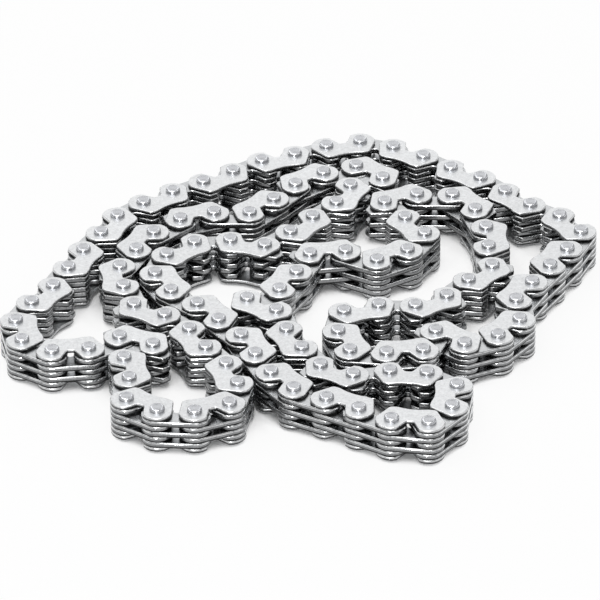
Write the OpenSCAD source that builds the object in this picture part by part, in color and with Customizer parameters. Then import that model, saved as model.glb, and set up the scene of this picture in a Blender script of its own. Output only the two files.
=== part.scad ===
// Inverted-tooth cam chain, a closed loop of 114 links folded up and lying on its side.
// Units are millimetres. Z = 0 is the surface that the lower pin ends rest on.
// The origin is under one pin of the middle strand. X runs to the viewer's right, Y away.
//
// Odd links are guide links: two pins, two guide plates and two toothed plates.
// Even links are inner links: three toothed plates that turn on their neighbours' pins.
// From the top the rows are guide, inner, toothed, inner, toothed, inner, guide.

/* [Pitch] */
// distance from pin to pin along the chain; the plate outlines grow with it
pitch = 6.35; // [6:0.05:9.55]
// the pitch that the outline's sizes below are given at
standard_pitch = 6.35; // [6.3:0.05:7]
// space between the rounded ends of two plates that follow each other in one row
end_gap = 0.76; // [0.7:0.02:1.2]

/* [Plate outline, at the standard pitch] */
// distance from the pin line to the tips of the teeth
tooth_reach = 3.78; // [3.5:0.02:3.8]
// distance from a pin's axis to the straight flank beside it
flank_reach = 2.57; // [2.4:0.01:2.58]
// slope of the flanks, measured from the pin line
flank_angle = 60; // [58:0.5:62]
// rounding of a tooth's outer corner
outer_tip_radius = 0.45; // [0.3:0.05:0.5]
// rounding of a guide plate's two toes
toe_radius = 0.9; // [0.4:0.05:1.2]
// rounding of a tooth's inner corner
inner_tip_radius = 0.35; // [0.2:0.05:0.45]
// distance from the pin line to the straight back of a toothed plate
back_reach = 2.73; // [2.5:0.01:2.74]
// distance from the pin line to the bottom of the gap between two teeth
crotch_floor = 0.54; // [0.3:0.02:0.9]
// rounding at the bottom of that gap
crotch_radius = 0.7; // [0.5:0.05:0.9]
// depth of the shallow curve between a guide plate's two toes
waist_depth = 0.38; // [0.2:0.02:0.6]
// distance of a guide plate's back notch from the pin line
notch_floor = 0.19; // [0:0.01:0.5]
// half the width of the notch at its bottom
notch_half_width = 0.62; // [0.5:0.01:0.7]
// rounding in the notch's two corners
notch_radius = 0.45; // [0.3:0.05:0.5]

/* [Thickness] */
// thickness of a guide plate
guide_thickness = 0.7; // [0.5:0.05:1.2]
// thickness of a toothed plate
toothed_thickness = 1; // [0.6:0.05:1.2]
// free space between two rows of plates
row_gap = 0.06; // [0.02:0.01:0.1]

/* [Pins] */
// diameter of a pin
pin_diameter = 2.6; // [1.8:0.05:2.7]
// radial clearance between a pin and a toothed plate's hole
running_clearance = 0.04; // [0.02:0.01:0.08]
// length of pin that stands out of each guide plate
pin_stand_out = 0.7; // [0.4:0.05:1]
// width of the rounded rim about a pin's flat end
rim_width = 0.4; // [0.3:0.05:0.6]
// height that the rim falls away by
rim_height = 0.28; // [0.1:0.02:0.3]

/* [Hidden] */
$fn = 64;
grow = pitch / standard_pitch;
end_radius = (pitch - end_gap * grow) / 2;
pin_radius = pin_diameter / 2;
hole_radius = pin_radius + running_clearance;
row_step = toothed_thickness + row_gap;
toothed_rows = 5;
stack = 2 * guide_thickness + toothed_rows * toothed_thickness
    + (toothed_rows + 1) * row_gap;
pin_length = stack + 2 * pin_stand_out;
rim_radius = (rim_width * rim_width + rim_height * rim_height) / (2 * rim_height);
first_toothed_z = pin_stand_out + guide_thickness + row_gap;
upper_guide_z = pin_stand_out + stack - guide_thickness;
steel = [0.78, 0.79, 0.80];
bright_steel = [0.84, 0.85, 0.86];
pin_steel = [0.66, 0.67, 0.70];

// The lay: the direction in which each link points, in whole degrees from +X,
// one line of links for each stretch of the loop. It starts at the left-hand end,
// and the fourth line is the middle strand, whose first pin stands on the origin.
link_directions = [
    [6, 35, -24],
    [-140, -81, -93, -34, -5, 22, 78, 108],
    [124, 117, 133, 148, 108, 97, 64, 62, 43, 19, -2],
    [47, 52, 37, 21, -42],
    [-157, -114, -132, -129, -136, 164, -175, -140, -108],
    [-63, -43, -54, -52, -67, -65, -53, -29, -31, -31],
    [-10, 50, 81, 142, 174, -171, 151, 120, 114, 106, 143],
    [27, 62, 68, 8, -30, 31, 60, 122, 124],
    [23, -2, -52, -74, -88, -86, -133, -128, -151, 178, -163],
    [-100, -72, -8, 7, 69],
    [-40, 23, 52, 93, 62, 58, 59, 65],
    [124, 143, 133, 132, 146, 140, 148, 161],
    [-166, -155, -160, -145, -147, -149, -145, -136, -116, -118, -113, -113, -124, -114]
];
middle_strand_line = 3;
lines_before = [for (i = [0:middle_strand_line - 1]) each link_directions[i]];
origin_pin = len(lines_before) + 1;

directions = [for (stretch = link_directions) for (a = stretch) a];
laid_links = len(directions);
links = laid_links + 2;

// Each pin is one pitch from the last, and the last pin lies where two links
// of one pitch close the loop.
function pins_after(i, at) =
    i == laid_links ? [at]
    : concat([at], pins_after(i + 1, at + pitch * [cos(directions[i]), sin(directions[i])]));
function closing_pin(from, to) =
    let (half = (to - from) / 2, rise = sqrt(pitch * pitch - half * half))
    from + half + rise * [half.y, -half.x] / norm(half);
laid_pins = pins_after(0, [0, 0]);
raw_pins = concat(laid_pins, [closing_pin(laid_pins[laid_links], laid_pins[0])]);
function pin_at(number) = raw_pins[(number - 1) % links] - raw_pins[origin_pin - 1];
function is_guide_link(number) = (number - 1) % 2 == 0;
function wrapped(number) = (number - 1) % links + 1;

// Plate outlines, with the first pin at the origin, the second at [pitch, 0]
// and the teeth towards +Y.
along_flank = [cos(flank_angle), sin(flank_angle)];
out_of_flank = [-sin(flank_angle), cos(flank_angle)];
out_of_crotch_side = [sin(flank_angle), cos(flank_angle)];
into_notch = [sin(flank_angle), -cos(flank_angle)];
tip_y = tooth_reach * grow;
flank_d = flank_reach * grow;
back_y = -back_reach * grow;
mid_x = pitch / 2;
outer_r = outer_tip_radius * grow;
toe_r = toe_radius * grow;
inner_r = inner_tip_radius * grow;
crotch_r = crotch_radius * grow;
notch_r = notch_radius * grow;
notch_y = -notch_floor * grow;
waist_sag = waist_depth * grow;

// the point at height y on the line whose normal and distance are given
function on_line(normal, distance, y) = [(distance - normal.y * y) / normal.x, y];
function mirrored(points) =
    concat(points, [for (i = [len(points) - 1:-1:0]) [pitch - points[i].x, points[i].y]]);

flank_foot = flank_d * out_of_flank;
outer_tip = on_line(out_of_flank, flank_d - outer_r, tip_y - outer_r);
toe = on_line(out_of_flank, flank_d - toe_r, tip_y - toe_r);
crotch_centre = [mid_x, crotch_floor * grow + crotch_r];
crotch_side = crotch_centre * out_of_crotch_side - crotch_r;
inner_tip = on_line(out_of_crotch_side, crotch_side - inner_r, tip_y - inner_r);
notch_corner = [mid_x - notch_half_width * grow, notch_y];
notch_side = notch_corner * into_notch;
notch_centre = on_line(into_notch, notch_side + notch_r, notch_y - notch_r);
waist_share = 0.4;
waist_half = waist_share * pitch;
waist_radius = (waist_half * waist_half + waist_sag * waist_sag) / (2 * waist_sag);

module at_both_pins() {
    children();
    translate([pitch, 0]) children();
}

module both_sides(point) {
    translate(point) children();
    translate([pitch - point.x, point.y]) children();
}

// round ends about the pins, cut by the two flanks and by the back line
module plate_ends(back) {
    intersection() {
        at_both_pins() circle(r = end_radius);
        polygon(mirrored([
            on_line(out_of_flank, flank_d, back),
            on_line(out_of_flank, flank_d, tip_y)
        ]));
    }
}

module toothed_outline() {
    difference() {
        union() {
            plate_ends(back_y);
            polygon(mirrored([
                [0, back_y],
                flank_foot,
                outer_tip + outer_r * out_of_flank,
                outer_tip + [0, outer_r],
                inner_tip + [0, inner_r],
                inner_tip + inner_r * out_of_crotch_side,
                crotch_centre - crotch_r * out_of_crotch_side
            ]));
            both_sides(outer_tip) circle(r = outer_r);
            both_sides(inner_tip) circle(r = inner_r);
        }
        translate(crotch_centre) circle(r = crotch_r);
        at_both_pins() circle(r = hole_radius);
    }
}

module notch_outline() {
    polygon(mirrored([
        notch_centre + [0, notch_r],
        notch_centre - notch_r * into_notch,
        on_line(into_notch, notch_side, -2 * end_radius)
    ]));
    both_sides(notch_centre) circle(r = notch_r);
}

module guide_outline() {
    difference() {
        union() {
            plate_ends(-end_radius);
            polygon(mirrored([
                [0, notch_y],
                flank_foot,
                toe + toe_r * out_of_flank,
                toe + [0, toe_r]
            ]));
            both_sides(toe) circle(r = toe_r);
        }
        translate([mid_x, tip_y - waist_sag + waist_radius]) circle(r = waist_radius);
        notch_outline();
        at_both_pins() circle(r = pin_radius);
    }
}

module toothed_plate() {
    linear_extrude(height = toothed_thickness) toothed_outline();
}

module guide_plate() {
    linear_extrude(height = guide_thickness) guide_outline();
}

// a straight pin whose two ends stand out of the guide plates with rounded rims
module pin() {
    rotate_extrude() intersection() {
        square([pin_radius, pin_length]);
        union() {
            square([pin_radius - rim_width, pin_length]);
            translate([0, rim_height]) square([pin_radius, pin_length - 2 * rim_height]);
            for (z = [rim_radius, pin_length - rim_radius])
                translate([pin_radius - rim_width, z]) circle(r = rim_radius);
        }
    }
}

// carries its children to a link's place in the lay
module at_link(number) {
    step = pin_at(number + 1) - pin_at(number);
    translate(pin_at(number)) rotate(atan2(step.y, step.x)) children();
}

module pins_of(first, count) {
    for (i = [first:first + count - 1])
        if (is_guide_link(wrapped(i)))
            for (end = [0, 1]) translate(pin_at(i + end)) pin();
}

module guides_of(first, count) {
    for (i = [first:first + count - 1])
        if (is_guide_link(wrapped(i)))
            for (z = [pin_stand_out, upper_guide_z])
                at_link(i) translate([0, 0, z]) guide_plate();
}

// a guide link has the second and fourth toothed rows, an inner link the other three
module toothed_of(first, count) {
    for (i = [first:first + count - 1])
        for (row = is_guide_link(wrapped(i)) ? [1, 3] : [0, 2, 4])
            at_link(i) translate([0, 0, first_toothed_z + row * row_step]) toothed_plate();
}

// Sub-parts: the loop in 24 stretches that each lie rigid, and the pins, guide plates
// and toothed plates of each. The numbers are a stretch's first link and its links.

module left_end_pins() {
    color(pin_steel) pins_of(108, 8);
}

module left_end_guide_plates() {
    color(bright_steel) guides_of(108, 8);
}

module left_end_toothed_plates() {
    color(steel) toothed_of(108, 8);
}

module left_link_toothed_plates() {
    color(steel) toothed_of(2, 1);
}

module front_left_loop_pins() {
    color(pin_steel) pins_of(3, 15);
}

module front_left_loop_guide_plates() {
    color(bright_steel) guides_of(3, 15);
}

module front_left_loop_toothed_plates() {
    color(steel) toothed_of(3, 15);
}

module inner_left_link_toothed_plates() {
    color(steel) toothed_of(18, 1);
}

module middle_strand_pins() {
    color(pin_steel) pins_of(19, 9);
}

module middle_strand_guide_plates() {
    color(bright_steel) guides_of(19, 9);
}

module middle_strand_toothed_plates() {
    color(steel) toothed_of(19, 9);
}

module middle_fold_link_toothed_plates() {
    color(steel) toothed_of(28, 1);
}

module inner_turn_pins() {
    color(pin_steel) pins_of(29, 15);
}

module inner_turn_guide_plates() {
    color(bright_steel) guides_of(29, 15);
}

module inner_turn_toothed_plates() {
    color(steel) toothed_of(29, 15);
}

module front_middle_link_toothed_plates() {
    color(steel) toothed_of(44, 1);
}

module front_right_loop_pins() {
    color(pin_steel) pins_of(45, 8);
}

module front_right_loop_guide_plates() {
    color(bright_steel) guides_of(45, 8);
}

module front_right_loop_toothed_plates() {
    color(steel) toothed_of(45, 8);
}

module front_right_link_pins() {
    color(pin_steel) pins_of(53, 1);
}

module front_right_link_guide_plates() {
    color(bright_steel) guides_of(53, 1);
}

module front_right_link_toothed_plates() {
    color(steel) toothed_of(53, 1);
}

module centre_fold_pins() {
    color(pin_steel) pins_of(54, 13);
}

module centre_fold_guide_plates() {
    color(bright_steel) guides_of(54, 13);
}

module centre_fold_toothed_plates() {
    color(steel) toothed_of(54, 13);
}

module upper_right_link_pins() {
    color(pin_steel) pins_of(67, 1);
}

module upper_right_link_guide_plates() {
    color(bright_steel) guides_of(67, 1);
}

module upper_right_link_toothed_plates() {
    color(steel) toothed_of(67, 1);
}

module right_inner_arc_pins() {
    color(pin_steel) pins_of(68, 6);
}

module right_inner_arc_guide_plates() {
    color(bright_steel) guides_of(68, 6);
}

module right_inner_arc_toothed_plates() {
    color(steel) toothed_of(68, 6);
}

module centre_right_link_toothed_plates() {
    color(steel) toothed_of(74, 1);
}

module right_hairpin_pins() {
    color(pin_steel) pins_of(75, 8);
}

module right_hairpin_guide_plates() {
    color(bright_steel) guides_of(75, 8);
}

module right_hairpin_toothed_plates() {
    color(steel) toothed_of(75, 8);
}

module lower_right_link_pins() {
    color(pin_steel) pins_of(83, 1);
}

module lower_right_link_guide_plates() {
    color(bright_steel) guides_of(83, 1);
}

module lower_right_link_toothed_plates() {
    color(steel) toothed_of(83, 1);
}

module right_fold_link_toothed_plates() {
    color(steel) toothed_of(84, 1);
}

module outer_right_link_pins() {
    color(pin_steel) pins_of(85, 1);
}

module outer_right_link_guide_plates() {
    color(bright_steel) guides_of(85, 1);
}

module outer_right_link_toothed_plates() {
    color(steel) toothed_of(85, 1);
}

module right_end_pins() {
    color(pin_steel) pins_of(86, 10);
}

module right_end_guide_plates() {
    color(bright_steel) guides_of(86, 10);
}

module right_end_toothed_plates() {
    color(steel) toothed_of(86, 10);
}

module rear_right_link_toothed_plates() {
    color(steel) toothed_of(96, 1);
}

module rear_strand_pins() {
    color(pin_steel) pins_of(97, 5);
}

module rear_strand_guide_plates() {
    color(bright_steel) guides_of(97, 5);
}

module rear_strand_toothed_plates() {
    color(steel) toothed_of(97, 5);
}

module rear_link_toothed_plates() {
    color(steel) toothed_of(102, 1);
}

module rear_left_strand_pins() {
    color(pin_steel) pins_of(103, 4);
}

module rear_left_strand_guide_plates() {
    color(bright_steel) guides_of(103, 4);
}

module rear_left_strand_toothed_plates() {
    color(steel) toothed_of(103, 4);
}

module rear_left_link_pins() {
    color(pin_steel) pins_of(107, 1);
}

module rear_left_link_guide_plates() {
    color(bright_steel) guides_of(107, 1);
}

module rear_left_link_toothed_plates() {
    color(steel) toothed_of(107, 1);
}

left_end_pins();
left_end_guide_plates();
left_end_toothed_plates();
left_link_toothed_plates();
front_left_loop_pins();
front_left_loop_guide_plates();
front_left_loop_toothed_plates();
inner_left_link_toothed_plates();
middle_strand_pins();
middle_strand_guide_plates();
middle_strand_toothed_plates();
middle_fold_link_toothed_plates();
inner_turn_pins();
inner_turn_guide_plates();
inner_turn_toothed_plates();
front_middle_link_toothed_plates();
front_right_loop_pins();
front_right_loop_guide_plates();
front_right_loop_toothed_plates();
front_right_link_pins();
front_right_link_guide_plates();
front_right_link_toothed_plates();
centre_fold_pins();
centre_fold_guide_plates();
centre_fold_toothed_plates();
upper_right_link_pins();
upper_right_link_guide_plates();
upper_right_link_toothed_plates();
right_inner_arc_pins();
right_inner_arc_guide_plates();
right_inner_arc_toothed_plates();
centre_right_link_toothed_plates();
right_hairpin_pins();
right_hairpin_guide_plates();
right_hairpin_toothed_plates();
lower_right_link_pins();
lower_right_link_guide_plates();
lower_right_link_toothed_plates();
right_fold_link_toothed_plates();
outer_right_link_pins();
outer_right_link_guide_plates();
outer_right_link_toothed_plates();
right_end_pins();
right_end_guide_plates();
right_end_toothed_plates();
rear_right_link_toothed_plates();
rear_strand_pins();
rear_strand_guide_plates();
rear_strand_toothed_plates();
rear_link_toothed_plates();
rear_left_strand_pins();
rear_left_strand_guide_plates();
rear_left_strand_toothed_plates();
rear_left_link_pins();
rear_left_link_guide_plates();
rear_left_link_toothed_plates();
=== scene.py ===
import math

import bmesh
import bpy
from mathutils import Matrix, Vector


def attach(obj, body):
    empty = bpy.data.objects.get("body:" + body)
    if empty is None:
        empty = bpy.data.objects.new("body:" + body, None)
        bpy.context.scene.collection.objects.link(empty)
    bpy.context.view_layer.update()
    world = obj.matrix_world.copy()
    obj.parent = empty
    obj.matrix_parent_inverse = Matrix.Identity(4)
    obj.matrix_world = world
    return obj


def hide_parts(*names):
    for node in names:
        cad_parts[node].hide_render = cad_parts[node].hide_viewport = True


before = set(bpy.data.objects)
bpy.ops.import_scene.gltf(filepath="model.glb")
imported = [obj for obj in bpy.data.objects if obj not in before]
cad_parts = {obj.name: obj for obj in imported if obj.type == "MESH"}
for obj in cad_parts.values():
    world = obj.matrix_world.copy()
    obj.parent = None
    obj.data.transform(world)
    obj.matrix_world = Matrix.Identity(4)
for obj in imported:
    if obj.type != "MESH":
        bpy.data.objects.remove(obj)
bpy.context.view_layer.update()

# The lay of the chain: a closed loop of 114 links, folded up on its side.
# Each link points in a direction of its own; the teeth are on the left of travel,
# and every second link, from the first on, is a guide link that owns two pins.
mm = 0.001
pitch = 6.35 * mm
link_directions = [
    [6, 35, -24],
    [-140, -81, -93, -34, -5, 22, 78, 108],
    [124, 117, 133, 148, 108, 97, 64, 62, 43, 19, -2],
    [47, 52, 37, 21, -42],
    [-157, -114, -132, -129, -136, 164, -175, -140, -108],
    [-63, -43, -54, -52, -67, -65, -53, -29, -31, -31],
    [-10, 50, 81, 142, 174, -171, 151, 120, 114, 106, 143],
    [27, 62, 68, 8, -30, 31, 60, 122, 124],
    [23, -2, -52, -74, -88, -86, -133, -128, -151, 178, -163],
    [-100, -72, -8, 7, 69],
    [-40, 23, 52, 93, 62, 58, 59, 65],
    [124, 143, 133, 132, 146, 140, 148, 161],
    [-166, -155, -160, -145, -147, -149, -145, -136, -116, -118, -113, -113, -124, -114],
]
pins_along = [Vector((0, 0))]
for stretch in link_directions:
    for degrees in stretch:
        step = Vector((math.cos(math.radians(degrees)), math.sin(math.radians(degrees))))
        pins_along.append(pins_along[-1] + pitch * step)
half_gap = (pins_along[0] - pins_along[-1]) / 2
rise = math.sqrt(pitch ** 2 - half_gap.length ** 2)
across_gap = Vector((half_gap.y, -half_gap.x)).normalized()
pins_along.append(pins_along[-1] + half_gap + rise * across_gap)
origin_pin = 23
pins_along = [place - pins_along[origin_pin - 1] for place in pins_along]


def pin_place(number):
    return pins_along[(number - 1) % len(pins_along)]


# first link and number of links of each stretch that moves as one
stretches = {
    "left_end": (108, 8), "left_link": (2, 1), "front_left_loop": (3, 15),
    "inner_left_link": (18, 1), "middle_strand": (19, 9), "middle_fold_link": (28, 1),
    "inner_turn": (29, 15), "front_middle_link": (44, 1), "front_right_loop": (45, 8),
    "front_right_link": (53, 1), "centre_fold": (54, 13), "upper_right_link": (67, 1),
    "right_inner_arc": (68, 6), "centre_right_link": (74, 1), "right_hairpin": (75, 8),
    "lower_right_link": (83, 1), "right_fold_link": (84, 1), "outer_right_link": (85, 1),
    "right_end": (86, 10), "rear_right_link": (96, 1), "rear_strand": (97, 5),
    "rear_link": (102, 1), "rear_left_strand": (103, 4), "rear_left_link": (107, 1),
}


def links_of(stretch):
    first, count = stretches[stretch]
    for number in range(first, first + count):
        here, there = pin_place(number), pin_place(number + 1)
        yield number % 2 == 1, here, there, math.atan2(there.y - here.y, there.x - here.x)


# Guide plates: the two outermost plates of every second link, blanked from sheet steel
# and pressed on the link's pins. They have sloping flanks, a shallow curve between
# the toes and a notch in the back, and are tumbled to a pale satin.
flank_angle = 60
end_gap = 0.76 * mm
tooth_reach = 3.78 * mm
flank_reach = 2.57 * mm
end_radius = (pitch - end_gap) / 2
toe_radius = 0.9 * mm
waist_depth = 0.38 * mm
waist_half_width = 0.4 * pitch
notch_floor = 0.19 * mm
notch_half_width = 0.62 * mm
notch_radius = 0.45 * mm
guide_thickness = 0.7 * mm
upper_guide_level = 6.76 * mm
pin_radius = 1.3 * mm
pin_stand_out = 0.7 * mm
rolled_edge = 0.13 * mm
rolled_height = 0.27 * mm
# the foot of each wall, marked as rim, gets painted shade and painted highlight
shaded_foot_share_of_wall = 0.15
crease_angle = 40
round_faces = 20
middle = pitch / 2
weld = 1e-7


def arc(centre, radius, start, end, steps):
    angles = [math.radians(start + (end - start) * i / steps) for i in range(steps + 1)]
    return [Vector((centre[0] + radius * math.cos(a), centre[1] + radius * math.sin(a)))
            for a in angles]


def on_line(normal_degrees, distance, y):
    """The point at height y on the line that lies that far out along the normal."""
    normal = math.radians(normal_degrees)
    return Vector(((distance - y * math.sin(normal)) / math.cos(normal), y))


def mirrored(half):
    """A closed outline from its left half, mirrored about the middle of the link."""
    twin = [Vector((pitch - p.x, p.y)) for p in reversed(half) if abs(p.x - middle) > weld]
    return list(reversed(half + twin))


flank_normal = 90 + flank_angle
flank_foot = flank_normal + math.degrees(math.acos(flank_reach / end_radius))
toe = on_line(flank_normal, flank_reach - toe_radius, tooth_reach - toe_radius)
notch_normal = flank_angle - 90
notch_corner = Vector((middle - notch_half_width, -notch_floor))
notch_side = (notch_corner.x * math.cos(math.radians(notch_normal))
              + notch_corner.y * math.sin(math.radians(notch_normal)))
notch_centre = on_line(notch_normal, notch_side + notch_radius, -notch_floor - notch_radius)
notch_foot = notch_normal - math.degrees(math.acos(notch_side / end_radius))
waist_radius = (waist_half_width ** 2 + waist_depth ** 2) / (2 * waist_depth)
waist_angle = math.degrees(math.asin(waist_half_width / waist_radius))
waist_centre = (middle, tooth_reach - waist_depth + waist_radius)
guide_outline = mirrored(
    [Vector((middle, -notch_floor))]
    + arc(notch_centre, notch_radius, 90, 90 + flank_angle, 3)
    + arc((0, 0), end_radius, notch_foot, flank_foot - 360, 7)
    + arc(toe, toe_radius, flank_normal, 90, 3)
    + arc(waist_centre, waist_radius, -90 - waist_angle, -90, 3))


def inset(outline, depth):
    """The outline moved inwards by the depth, with the same corners."""
    moved = []
    for i, here in enumerate(outline):
        into = (here - outline[i - 1]).normalized()
        out = (outline[(i + 1) % len(outline)] - here).normalized()
        left, right = Vector((-into.y, into.x)), Vector((-out.y, out.x))
        moved.append(here + depth * (left + right) / (1 + left.dot(right)))
    return moved


def blanked_plate(name, outline, hole_radius, hole_faces, thickness, roll_steps):
    """A plate with rolled edges and two holes, its first hole about the origin.

    The rim attribute marks the rolled edges and the torn foot of the blanked wall, which get wear
    and painted light.
    """
    shape = bmesh.new()
    rim = shape.faces.layers.float.new("rim")
    roll = [(rolled_height * (1 - math.cos(a)), rolled_edge * (1 - math.sin(a)))
            for a in (math.radians(90 * i / roll_steps) for i in range(roll_steps + 1))]
    shaded_foot_height = rolled_height + shaded_foot_share_of_wall * (thickness - 2 * rolled_height)
    walls = roll + [(shaded_foot_height, 0.0)] + [(thickness - z, depth) for z, depth in reversed(roll)]
    rings = [[shape.verts.new((p.x, p.y, z)) for p in inset(outline, depth)]
             for z, depth in walls]
    for level, (lower, upper) in enumerate(zip(rings, rings[1:])):
        for i in range(len(lower)):
            face = shape.faces.new((lower[i - 1], lower[i], upper[i], upper[i - 1]))
            face[rim] = 0.0 if level == len(roll) else 1.0
    caps = [list(rings[0]), list(rings[-1])]
    edges = [[shape.edges.get((ring[i - 1], ring[i])) for i in range(len(ring))]
             for ring in caps]
    for x in (0, pitch):
        around = arc((x, 0), hole_radius, 0, 360, hole_faces)[:-1]
        bore = [[shape.verts.new((p.x, p.y, z)) for p in around] for z in (0, thickness)]
        for i in range(hole_faces):
            shape.faces.new((bore[0][i], bore[0][i - 1], bore[1][i - 1], bore[1][i]))
        for cap, ring in zip(edges, bore):
            cap += [shape.edges.get((ring[i - 1], ring[i])) for i in range(hole_faces)]
    for cap in edges:
        bmesh.ops.triangle_fill(shape, use_beauty=True, use_dissolve=False, edges=cap)
    bmesh.ops.recalc_face_normals(shape, faces=shape.faces)
    for face in shape.faces:
        face.smooth = True
    for edge in shape.edges:
        edge.smooth = edge.calc_face_angle(math.pi) < math.radians(crease_angle)
    for edge in edges[0] + edges[1]:
        edge.smooth = False
    mesh = bpy.data.meshes.new(name)
    shape.to_mesh(mesh)
    shape.free()
    plate = bpy.data.objects.new(name, mesh)
    bpy.context.scene.collection.objects.link(plate)
    return plate


def wire(tree, kind, inputs, **settings):
    """A node of that kind with its settings and its inputs, given as values or sockets."""
    node = tree.nodes.new(kind)
    for key, value in settings.items():
        setattr(node, key, value)
    for key, value in inputs.items():
        if isinstance(value, bpy.types.NodeSocket):
            tree.links.new(value, node.inputs[key])
        else:
            node.inputs[key].default_value = value
    return node


def lay_tree():
    """Sets one piece at each link in each of its rows, turned to the link's direction."""
    tree = bpy.data.node_groups.new("pieces along the lay", "GeometryNodeTree")
    for name, kind in (("Links", "Geometry"), ("Piece", "Object"), ("Rows", "Int"),
                       ("First Row", "Float"), ("Row Step", "Float"), ("Play", "Float"),
                       ("Seed", "Int"), ("Finish", "Material")):
        tree.interface.new_socket(name, in_out="INPUT", socket_type="NodeSocket" + kind)
    tree.interface.new_socket("Stacks", in_out="OUTPUT", socket_type="NodeSocketGeometry")
    given = tree.nodes.new("NodeGroupInput").outputs
    start = wire(tree, "ShaderNodeCombineXYZ", {"Z": given["First Row"]})
    step = wire(tree, "ShaderNodeCombineXYZ", {"Z": given["Row Step"]})
    levels = wire(tree, "GeometryNodeMeshLine", {"Count": given["Rows"],
                  "Start Location": start.outputs[0], "Offset": step.outputs[0]})
    index = tree.nodes.new("GeometryNodeInputIndex")
    numbered = wire(tree, "GeometryNodeStoreNamedAttribute", {"Geometry": levels.outputs[0],
                    "Name": "level", "Value": index.outputs[0]}, data_type="INT", domain="POINT")
    stacked = wire(tree, "GeometryNodeInstanceOnPoints", {"Points": numbered.outputs[0],
                   "Instance": given["Links"]})
    places = wire(tree, "GeometryNodeRealizeInstances", {"Geometry": stacked.outputs[0]})
    level = wire(tree, "GeometryNodeInputNamedAttribute", {"Name": "level"}, data_type="INT")
    rows = wire(tree, "GeometryNodeInputNamedAttribute", {"Name": "rows"}, data_type="INT")
    beyond = wire(tree, "FunctionNodeCompare", {2: level.outputs[0], 3: rows.outputs[0]},
                  data_type="INT", operation="GREATER_EQUAL")
    kept = wire(tree, "GeometryNodeDeleteGeometry", {"Geometry": places.outputs[0],
                "Selection": beyond.outputs[0]}, domain="POINT")
    turn = wire(tree, "GeometryNodeInputNamedAttribute", {"Name": "turn"}, data_type="FLOAT")
    heading = wire(tree, "ShaderNodeCombineXYZ", {"Z": turn.outputs[0]})
    least = wire(tree, "ShaderNodeMath", {0: given["Play"], 1: -1.0}, operation="MULTIPLY")
    loose = wire(tree, "FunctionNodeRandomValue", {0: least.outputs[0], 1: given["Play"],
                 "Seed": given["Seed"]}, data_type="FLOAT_VECTOR")
    turned = wire(tree, "ShaderNodeVectorMath", {0: heading.outputs[0], 1: loose.outputs[0]},
                  operation="ADD")
    piece = wire(tree, "GeometryNodeObjectInfo", {"Object": given["Piece"], "As Instance": True})
    laid = wire(tree, "GeometryNodeInstanceOnPoints", {"Points": kept.outputs[0],
                "Instance": piece.outputs["Geometry"], "Rotation": turned.outputs[0]})
    tone = wire(tree, "FunctionNodeRandomValue", {"Seed": given["Seed"]}, data_type="FLOAT")
    toned = wire(tree, "GeometryNodeStoreNamedAttribute", {"Geometry": laid.outputs[0],
                 "Name": "tone", "Value": tone.outputs[1]}, data_type="FLOAT", domain="INSTANCE")
    plain = wire(tree, "GeometryNodeRealizeInstances", {"Geometry": toned.outputs[0]})
    done = wire(tree, "GeometryNodeSetMaterial", {"Geometry": plain.outputs[0],
                "Material": given["Finish"]})
    tree.links.new(done.outputs[0], tree.nodes.new("NodeGroupOutput").inputs[0])
    return tree


along_the_lay = lay_tree()


def lay_out(name, places, piece, rows, first_row, row_step, play, seed, finish):
    """Runs the tree on places (x, y, z, turn, rows) and gives back a plain mesh object."""
    marks = bpy.data.meshes.new(name)
    marks.from_pydata([p[:3] for p in places], [], [])
    for mark, kind, column in (("turn", "FLOAT", 3), ("rows", "INT", 4)):
        values = marks.attributes.new(mark, kind, "POINT").data
        values.foreach_set("value", [place[column] for place in places])
    laid = bpy.data.objects.new(name, marks)
    bpy.context.scene.collection.objects.link(laid)
    modifier = laid.modifiers.new("lay", "NODES")
    modifier.node_group = along_the_lay
    sockets = {s.name: s.identifier for s in along_the_lay.interface.items_tree
               if s.in_out == "INPUT"}
    for socket, value in (("Piece", piece), ("Rows", rows), ("First Row", first_row),
                          ("Row Step", row_step), ("Play", play), ("Seed", seed),
                          ("Finish", finish)):
        modifier[sockets[socket]] = value
    graph = bpy.context.evaluated_depsgraph_get()
    solid = bpy.data.meshes.new_from_object(laid.evaluated_get(graph),
                                            preserve_all_data_layers=True, depsgraph=graph)
    laid.modifiers.clear()
    laid.data = solid
    bpy.data.meshes.remove(marks)
    return laid


def effect(name, inputs, outputs):
    """A shader group with the given input values and outputs, and its two end nodes."""
    group = bpy.data.node_groups.new(name, "ShaderNodeTree")
    for socket, value in inputs.items():
        kind = "Color" if isinstance(value, tuple) else "Float"
        made = group.interface.new_socket(socket, in_out="INPUT", socket_type="NodeSocket" + kind)
        made.default_value = value
    for socket, kind in outputs.items():
        group.interface.new_socket(socket, in_out="OUTPUT", socket_type="NodeSocket" + kind)
    given = group.nodes.new("NodeGroupInput").outputs
    return group, given, group.nodes.new("NodeGroupOutput").inputs


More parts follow.
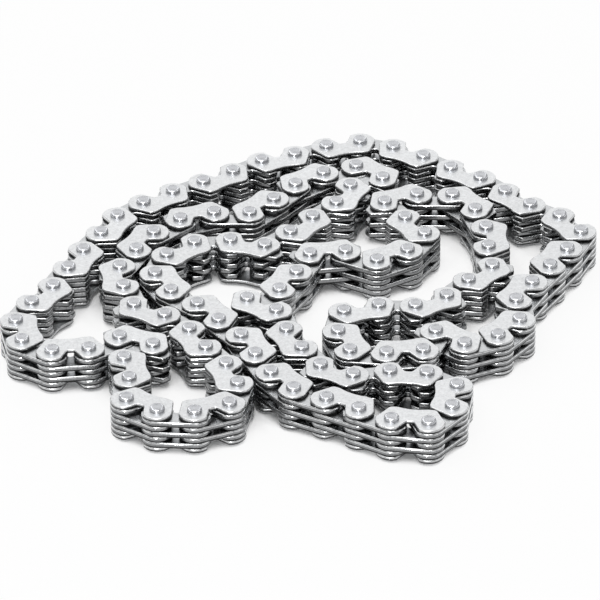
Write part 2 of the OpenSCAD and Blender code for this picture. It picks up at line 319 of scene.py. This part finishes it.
def tumbled_steel():
    """Fine matt grain from the tumbling barrel, small clouds and a tone for each piece."""
    group, given, gives = effect(
        "tumbled steel",
        {"Colour": (0.8, 0.8, 0.8, 1), "Tone": 0.5, "Tone Share": 0.2, "Average": 1.1,
         "Spread": 0.1, "Grain Size": 3300.0, "Cloud Size": 1200.0, "Roughness": 0.35,
         "Grain": 0.1},
        {"Colour": "Color", "Roughness": "Float", "Height": "Float"})
    place = group.nodes.new("ShaderNodeTexCoord").outputs["Object"]
    grain = wire(group, "ShaderNodeTexNoise", {"Vector": place, "Scale": given["Grain Size"],
                 "Detail": 2.0, "Roughness": 0.6})
    cloud = wire(group, "ShaderNodeTexNoise", {"Vector": place, "Scale": given["Cloud Size"],
                 "Detail": 3.0, "Roughness": 0.55})
    both = wire(group, "ShaderNodeMath", {0: grain.outputs[0], 1: cloud.outputs[0]},
                operation="ADD")
    shade = wire(group, "ShaderNodeMath", {0: given["Tone"], 1: given["Tone Share"],
                 2: both.outputs[0]}, operation="MULTIPLY_ADD")
    centred = wire(group, "ShaderNodeMath", {0: shade.outputs[0], 1: given["Average"]},
                   operation="SUBTRACT")
    lift = wire(group, "ShaderNodeMath", {0: centred.outputs[0], 1: given["Spread"], 2: 1.0},
                operation="MULTIPLY_ADD")
    colour = wire(group, "ShaderNodeVectorMath", {0: given["Colour"], "Scale": lift.outputs[0]},
                  operation="SCALE")
    rough = wire(group, "ShaderNodeMath", {0: centred.outputs[0], 1: given["Grain"],
                 2: given["Roughness"]}, operation="MULTIPLY_ADD")
    group.links.new(colour.outputs[0], gives["Colour"])
    group.links.new(rough.outputs[0], gives["Roughness"])
    group.links.new(grain.outputs[0], gives["Height"])
    return group


def edge_wear_and_light():
    """Upper edges rubbed bright and smooth, with a painted highlight; lower ones get painted
    shade.
    """
    group, given, gives = effect(
        "edge wear and painted light",
        {"Colour": (0.8, 0.8, 0.8, 1), "Roughness": 0.35, "Rim": 0.0, "Brighter": 1.15,
         "Smoother": 0.6, "Seam": 0.04, "Break Size": 1500.0},
        {"Colour": "Color", "Roughness": "Float"})
    place = group.nodes.new("ShaderNodeTexCoord").outputs["Object"]
    patches = wire(group, "ShaderNodeTexNoise", {"Vector": place, "Scale": given["Break Size"],
                   "Detail": 2.0})
    broken = wire(group, "ShaderNodeMapRange", {"Value": patches.outputs[0], "From Min": 0.3,
                  "From Max": 0.55})
    mask = wire(group, "ShaderNodeMath", {0: broken.outputs[0], 1: given["Rim"]},
                operation="MULTIPLY")
    # Rim patches brightened: partly worn steel, partly a painted highlight.
    bright = wire(group, "ShaderNodeVectorMath", {0: given["Colour"], "Scale": given["Brighter"]},
                  operation="SCALE")
    smooth = wire(group, "ShaderNodeMath", {0: given["Roughness"], 1: given["Smoother"]},
                  operation="MULTIPLY")
    lit = wire(group, "ShaderNodeMix", {0: mask.outputs[0], 6: given["Colour"],
               7: bright.outputs[0]}, data_type="RGBA")
    # Painted shade: rim faces that point down are mixed to a near-black share of the colour, as
    # shade in the gaps between plates.
    normal = group.nodes.new("ShaderNodeNewGeometry").outputs["Normal"]
    split = wire(group, "ShaderNodeSeparateXYZ", {0: normal})
    under = wire(group, "ShaderNodeMapRange", {"Value": split.outputs["Z"], "From Min": 0.06,
                 "From Max": -0.04})
    under_shade_mask = wire(group, "ShaderNodeMath", {0: under.outputs[0], 1: given["Rim"]},
                operation="MULTIPLY")
    under_shade_colour = wire(group, "ShaderNodeVectorMath", {0: given["Colour"], "Scale": given["Seam"]},
                operation="SCALE")
    colour = wire(group, "ShaderNodeMix", {0: under_shade_mask.outputs[0], 6: lit.outputs[2],
                  7: under_shade_colour.outputs[0]}, data_type="RGBA")
    rough = wire(group, "ShaderNodeMix", {0: mask.outputs[0], 2: given["Roughness"],
                 3: smooth.outputs[0]}, data_type="FLOAT")
    group.links.new(colour.outputs[2], gives["Colour"])
    group.links.new(rough.outputs[0], gives["Roughness"])
    return group


def wall_streaks_and_shade():
    """The blanked walls of a plate: fine upright streaks that roughen the steel, and painted
    shade that darkens it.
    """
    group, given, gives = effect(
        "wall streaks and painted shade",
        {"Colour": (0.8, 0.8, 0.8, 1), "Roughness": 0.35, "Darker": 0.8, "Rougher": 0.03,
         "Streak Size": 6000.0},
        {"Colour": "Color", "Roughness": "Float", "Height": "Float"})
    place = group.nodes.new("ShaderNodeTexCoord").outputs["Object"]
    upright = (1.0, 1.0, 0.06)
    drawn = wire(group, "ShaderNodeMapping", {"Vector": place, "Scale": upright})
    streaks = wire(group, "ShaderNodeTexNoise", {"Vector": drawn.outputs[0],
                   "Scale": given["Streak Size"], "Detail": 2.0})
    normal = group.nodes.new("ShaderNodeNewGeometry").outputs["Normal"]
    split = wire(group, "ShaderNodeSeparateXYZ", {0: normal})
    up = wire(group, "ShaderNodeMath", {0: split.outputs["Z"]}, operation="ABSOLUTE")
    wall = wire(group, "ShaderNodeMapRange", {"Value": up.outputs[0], "From Min": 0.3,
                "From Max": 0.1})
    depth = wire(group, "ShaderNodeMapRange", {"Value": streaks.outputs[0], "From Min": 0.3,
                 "From Max": 0.7, "To Min": 0.8, "To Max": 1.0})
    mask = wire(group, "ShaderNodeMath", {0: wall.outputs[0], 1: depth.outputs[0]},
                operation="MULTIPLY")
    # Painted shade: the walls are mixed most of the way to the darker colour, a little unevenly
    # along the streaks.
    dark = wire(group, "ShaderNodeVectorMath", {0: given["Colour"], "Scale": given["Darker"]},
                operation="SCALE")
    colour = wire(group, "ShaderNodeMix", {0: mask.outputs[0], 6: given["Colour"],
                  7: dark.outputs[0]}, data_type="RGBA")
    rough = wire(group, "ShaderNodeMath", {0: mask.outputs[0], 1: given["Rougher"],
                 2: given["Roughness"]}, operation="MULTIPLY_ADD")
    group.links.new(colour.outputs[2], gives["Colour"])
    group.links.new(rough.outputs[0], gives["Roughness"])
    group.links.new(mask.outputs[0], gives["Height"])
    return group


tumbled_group, edge_wear_light_group, wall_group = tumbled_steel(), edge_wear_and_light(), wall_streaks_and_shade()


def steel(name, colour, roughness, spread, grain, brighter, smoother, darker):
    """Bright steel: tumbled grain, streaked walls with painted shade, worn edges with painted
    light.
    """
    material = bpy.data.materials.new(name)
    material.use_nodes = True
    tree = material.node_tree
    shader = tree.nodes["Principled BSDF"]
    shader.inputs["Metallic"].default_value = 1.0
    tone = wire(tree, "ShaderNodeAttribute", {}, attribute_name="tone")
    rim = wire(tree, "ShaderNodeAttribute", {}, attribute_name="rim")
    tumbled = wire(tree, "ShaderNodeGroup", {}, node_tree=tumbled_group)
    for socket, value in (("Colour", (*colour, 1)), ("Roughness", roughness),
                          ("Spread", spread), ("Grain", grain)):
        tumbled.inputs[socket].default_value = value
    tree.links.new(tone.outputs["Fac"], tumbled.inputs["Tone"])
    walls = wire(tree, "ShaderNodeGroup", {}, node_tree=wall_group)
    walls.inputs["Darker"].default_value = darker
    tree.links.new(tumbled.outputs["Colour"], walls.inputs["Colour"])
    tree.links.new(tumbled.outputs["Roughness"], walls.inputs["Roughness"])
    worn_and_lit_edges = wire(tree, "ShaderNodeGroup", {}, node_tree=edge_wear_light_group)
    worn_and_lit_edges.inputs["Brighter"].default_value = brighter
    worn_and_lit_edges.inputs["Smoother"].default_value = smoother
    tree.links.new(walls.outputs["Colour"], worn_and_lit_edges.inputs["Colour"])
    tree.links.new(walls.outputs["Roughness"], worn_and_lit_edges.inputs["Roughness"])
    tree.links.new(rim.outputs["Fac"], worn_and_lit_edges.inputs["Rim"])
    heights = wire(tree, "ShaderNodeMath", {0: tumbled.outputs["Height"],
                   1: walls.outputs["Height"]}, operation="ADD")
    bump = wire(tree, "ShaderNodeBump", {"Height": heights.outputs[0], "Strength": 0.25,
                "Distance": 0.02 * mm})
    tree.links.new(worn_and_lit_edges.outputs["Colour"], shader.inputs["Base Color"])
    tree.links.new(worn_and_lit_edges.outputs["Roughness"], shader.inputs["Roughness"])
    tree.links.new(bump.outputs[0], shader.inputs["Normal"])
    return material


def dress(piece, stretch, node_end):
    """Puts the piece in its CAD node's place, on the stretch's body."""
    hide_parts(stretch + node_end)
    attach(piece, stretch)


# darker sets the painted shade on the walls, brighter the wear and painted highlight on the rims
guide_steel = steel("satin guide plate steel", (0.82, 0.83, 0.84), roughness=0.36, spread=0.5,
                    grain=0.2, brighter=1.18, smoother=0.7, darker=0.3)
guide_plate = blanked_plate("guide plate blank", guide_outline, pin_radius, round_faces,
                            guide_thickness, roll_steps=3)
for seed, stretch in enumerate(stretches):
    places = [(here.x, here.y, 0, turn, 2)
              for guide, here, there, turn in links_of(stretch) if guide]
    if places:
        plates = lay_out("guide_plates." + stretch, places, guide_plate, 2, pin_stand_out,
                         upper_guide_level - pin_stand_out, 0.0, seed, guide_steel)
        dress(plates, stretch, "_guide_plates")
bpy.data.objects.remove(guide_plate)

# Toothed plates: the working plates, two in each guide link and three in each link
# between them, blanked from sheet steel with a straight back and two pointed teeth
# parted by a deep gap. They turn on the pins with a little play, and tilt in it.
outer_tip_radius = 0.45 * mm
inner_tip_radius = 0.35 * mm
back_reach = 2.73 * mm
crotch_floor = 0.54 * mm
crotch_radius = 0.7 * mm
toothed_thickness = 1.0 * mm
first_toothed_level = 1.46 * mm
row_step = 1.06 * mm
running_clearance = 0.04 * mm
hole_faces = 12
hole_radius = (pin_radius + running_clearance) / math.cos(math.pi / hole_faces)
tilt = math.radians(0.12)
back_foot = -90 - math.degrees(math.acos(back_reach / end_radius))
crotch_centre = Vector((middle, crotch_floor + crotch_radius))
crotch_normal = 90 - flank_angle
crotch_side = (crotch_centre.x * math.cos(math.radians(crotch_normal))
               + crotch_centre.y * math.sin(math.radians(crotch_normal)) - crotch_radius)
outer_tip = on_line(flank_normal, flank_reach - outer_tip_radius, tooth_reach - outer_tip_radius)
inner_tip = on_line(crotch_normal, crotch_side - inner_tip_radius, tooth_reach - inner_tip_radius)
toothed_outline = mirrored(
    arc((0, 0), end_radius, back_foot, flank_foot - 360, 6)
    + arc(outer_tip, outer_tip_radius, flank_normal, 90, 2)
    + arc(inner_tip, inner_tip_radius, 90, crotch_normal, 2)
    + arc(crotch_centre, crotch_radius, 180 + crotch_normal, 270, 2))

# darker sets the painted shade on the walls, brighter the wear and painted highlight on the rims
toothed_steel = steel("bright toothed plate steel", (0.60, 0.61, 0.62), roughness=0.24,
                      spread=0.45, grain=0.12, brighter=1.7, smoother=0.6, darker=0.35)
toothed_plate = blanked_plate("toothed plate blank", toothed_outline, hole_radius, hole_faces,
                              toothed_thickness, roll_steps=2)
for seed, stretch in enumerate(stretches):
    places = [(here.x, here.y, row_step if guide else 0, turn, 2 if guide else 3)
              for guide, here, there, turn in links_of(stretch)]
    plates = lay_out("toothed_plates." + stretch, places, toothed_plate, 3, first_toothed_level,
                     2 * row_step, tilt, 100 + seed, toothed_steel)
    dress(plates, stretch, "_toothed_plates")
bpy.data.objects.remove(toothed_plate)

# Pins: straight ground steel pins, two in each guide link, pressed through its guide
# plates. Both ends stand out and have a broad rounded rim about a very shallow dish.
pin_length = 8.16 * mm
pin_crease_angle = 32
rim_width = 0.4 * mm
rim_height = 0.28 * mm
dish_radius = 0.65 * mm
dish_slope_width = 0.1 * mm
dish_depth = 0.03 * mm
rim_radius = (rim_width ** 2 + rim_height ** 2) / (2 * rim_height)
rim_sweep = math.asin(rim_width / rim_radius)
flat_radius = pin_radius - rim_width
dished_end = [(0.0, dish_depth), (dish_radius, dish_depth), (dish_radius + dish_slope_width, 0.0)]
half_profile = dished_end + [
    (flat_radius + rim_radius * math.sin(a), rim_radius * (1 - math.cos(a)))
    for a in (0, rim_sweep / 3, rim_sweep * 2 / 3, rim_sweep)]
profile = half_profile + [(r, pin_length - z) for r, z in reversed(half_profile)]
side = len(half_profile) - 1
rim_levels = [level for level in range(len(dished_end), len(profile) - 1 - len(dished_end))
              if level != side]
shape = bmesh.new()
rim = shape.faces.layers.float.new("rim")
rings = []
for radius, z in profile:
    if radius == 0:
        rings.append([shape.verts.new((0, 0, z))])
    else:
        rings.append([shape.verts.new((p.x, p.y, z))
                      for p in arc((0, 0), radius, 0, 360, round_faces)[:-1]])
for level, (lower, upper) in enumerate(zip(rings, rings[1:])):
    for i in range(round_faces):
        if len(lower) == 1:
            face = shape.faces.new((lower[0], upper[i], upper[i - 1]))
        elif len(upper) == 1:
            face = shape.faces.new((upper[0], lower[i - 1], lower[i]))
        else:
            face = shape.faces.new((lower[i - 1], lower[i], upper[i], upper[i - 1]))
        face[rim] = 1.0 if level in rim_levels else 0.0
bmesh.ops.recalc_face_normals(shape, faces=shape.faces)
for face in shape.faces:
    face.smooth = True
for edge in shape.edges:
    edge.smooth = edge.calc_face_angle(math.pi) < math.radians(pin_crease_angle)
pin_mesh = bpy.data.meshes.new("pin blank")
shape.to_mesh(pin_mesh)
shape.free()
pin = bpy.data.objects.new("pin blank", pin_mesh)
bpy.context.scene.collection.objects.link(pin)

# The pins' sides get painted shade, mixed nearly down to a tenth of the colour; their rims get
# wear and painted highlight.
pin_steel = steel("ground pin steel", (0.58, 0.59, 0.615), roughness=0.26, spread=0.25,
                  grain=0.12, brighter=1.6, smoother=0.8, darker=0.1)
for seed, stretch in enumerate(stretches):
    places = [(end.x, end.y, 0, turn, 1)
              for guide, here, there, turn in links_of(stretch) if guide for end in (here, there)]
    if places:
        pins = lay_out("pins." + stretch, places, pin, 1, 0.0, 0.0, 0.0, 200 + seed, pin_steel)
        dress(pins, stretch, "_pins")
bpy.data.objects.remove(pin)

# The floor: a plain pale sheet that the chain lies on. It renders white straight on,
# but in the tight hollows under and between the links it keeps its shadow.
floor_half = 2.0
hollow_reach = 12 * mm
floor_mesh = bpy.data.meshes.new("floor")
floor_mesh.from_pydata([(-floor_half, -floor_half, 0), (floor_half, -floor_half, 0),
                        (floor_half, floor_half, 0), (-floor_half, floor_half, 0)],
                       [], [(0, 1, 2, 3)])
floor = bpy.data.objects.new("floor", floor_mesh)
bpy.context.scene.collection.objects.link(floor)
floor_white = bpy.data.materials.new("floor white")
floor_white.use_nodes = True
tree = floor_white.node_tree
matt = tree.nodes["Principled BSDF"]
matt.inputs["Base Color"].default_value = (0.95, 0.95, 0.95, 1)
matt.inputs["Roughness"].default_value = 0.9
matt.inputs["Specular IOR Level"].default_value = 0.0
seen = wire(tree, "ShaderNodeLightPath", {})
straight = wire(tree, "ShaderNodeMath", {0: seen.outputs["Is Camera Ray"],
                1: seen.outputs["Is Glossy Ray"]}, operation="MAXIMUM")
through = wire(tree, "ShaderNodeMath", {0: straight.outputs[0],
               1: seen.outputs["Is Transmission Ray"]}, operation="MAXIMUM")
open_sky = wire(tree, "ShaderNodeAmbientOcclusion", {"Distance": hollow_reach}, samples=8)
lit = wire(tree, "ShaderNodeMapRange", {"Value": open_sky.outputs["AO"], "From Min": 0.12,
           "From Max": 0.36, "To Min": 0.0, "To Max": 0.9})
share = wire(tree, "ShaderNodeMath", {0: through.outputs[0], 1: lit.outputs[0]},
             operation="MULTIPLY")
glow = wire(tree, "ShaderNodeEmission", {"Color": (1, 1, 1, 1), "Strength": 1.0})
paper = wire(tree, "ShaderNodeMixShader", {0: share.outputs[0],
             1: matt.outputs[0], 2: glow.outputs[0]})
tree.links.new(paper.outputs[0], tree.nodes["Material Output"].inputs["Surface"])
floor_mesh.materials.append(floor_white)

# Soft studio light: a dim even room, broad panels behind, overhead, in front and on both
# sides, and a narrow low one in front that draws a bright band down each rounded end.
room = bpy.data.worlds.new("pale room")
room.use_nodes = True
room.node_tree.nodes["Background"].inputs["Color"].default_value = (1, 1, 1, 1)
room.node_tree.nodes["Background"].inputs["Strength"].default_value = 0.35
bpy.context.scene.world = room
for name, azimuth, elevation, distance, width, height, brightness in (
        ("back panel", 100, 35, 1.3, 1.5, 0.9, 0.7),
        ("overhead panel", 245, 80, 1.3, 1.0, 1.0, 1.1),
        ("front panel", 262, 57, 1.4, 1.0, 0.5, 3.2),
        ("left panel", 178, 52, 1.3, 1.0, 0.4, 1.5),
        ("right panel", 2, 52, 1.3, 1.0, 0.4, 0.9),
        ("low front panel", 260, 6, 1.4, 0.1, 0.4, 32.0)):
    lamp = bpy.data.lights.new(name, "AREA")
    lamp.shape = "RECTANGLE"
    lamp.size, lamp.size_y = width, height
    lamp.energy = brightness * math.pi * width * height
    panel = bpy.data.objects.new(name, lamp)
    a, e = math.radians(azimuth), math.radians(elevation)
    away = Vector((math.cos(a) * math.cos(e), math.sin(a) * math.cos(e), math.sin(e)))
    facing = away.to_track_quat("Z", "Y").to_matrix().to_4x4()
    panel.matrix_world = Matrix.Translation(distance * away) @ facing
    bpy.context.scene.collection.objects.link(panel)

# The camera, where the photograph's pin ends put it: almost a metre away,
# 33 degrees above the floor, with a half-degree roll.
camera_distance = 952.59 * mm
aim = Vector((8.846, -29.244, 7.6)) * mm
tip_down, roll = math.radians(32.7503), math.radians(0.5367)
lens = bpy.data.cameras.new("camera")
lens.sensor_width = 36
lens.lens = 328.57
lens.clip_start, lens.clip_end = 0.01, 20
camera = bpy.data.objects.new("camera", lens)
forward = Vector((0, math.cos(tip_down), -math.sin(tip_down)))
upward = Vector((0, math.sin(tip_down), math.cos(tip_down)))
sideways = Vector((1, 0, 0))
right = math.cos(roll) * sideways - math.sin(roll) * upward
above = math.sin(roll) * sideways + math.cos(roll) * upward
turned = Matrix((right, above, -forward)).transposed().to_4x4()
camera.matrix_world = Matrix.Translation(aim - camera_distance * forward) @ turned
bpy.context.scene.collection.objects.link(camera)
bpy.context.scene.camera = camera

bpy.context.scene.view_settings.view_transform = "Standard"
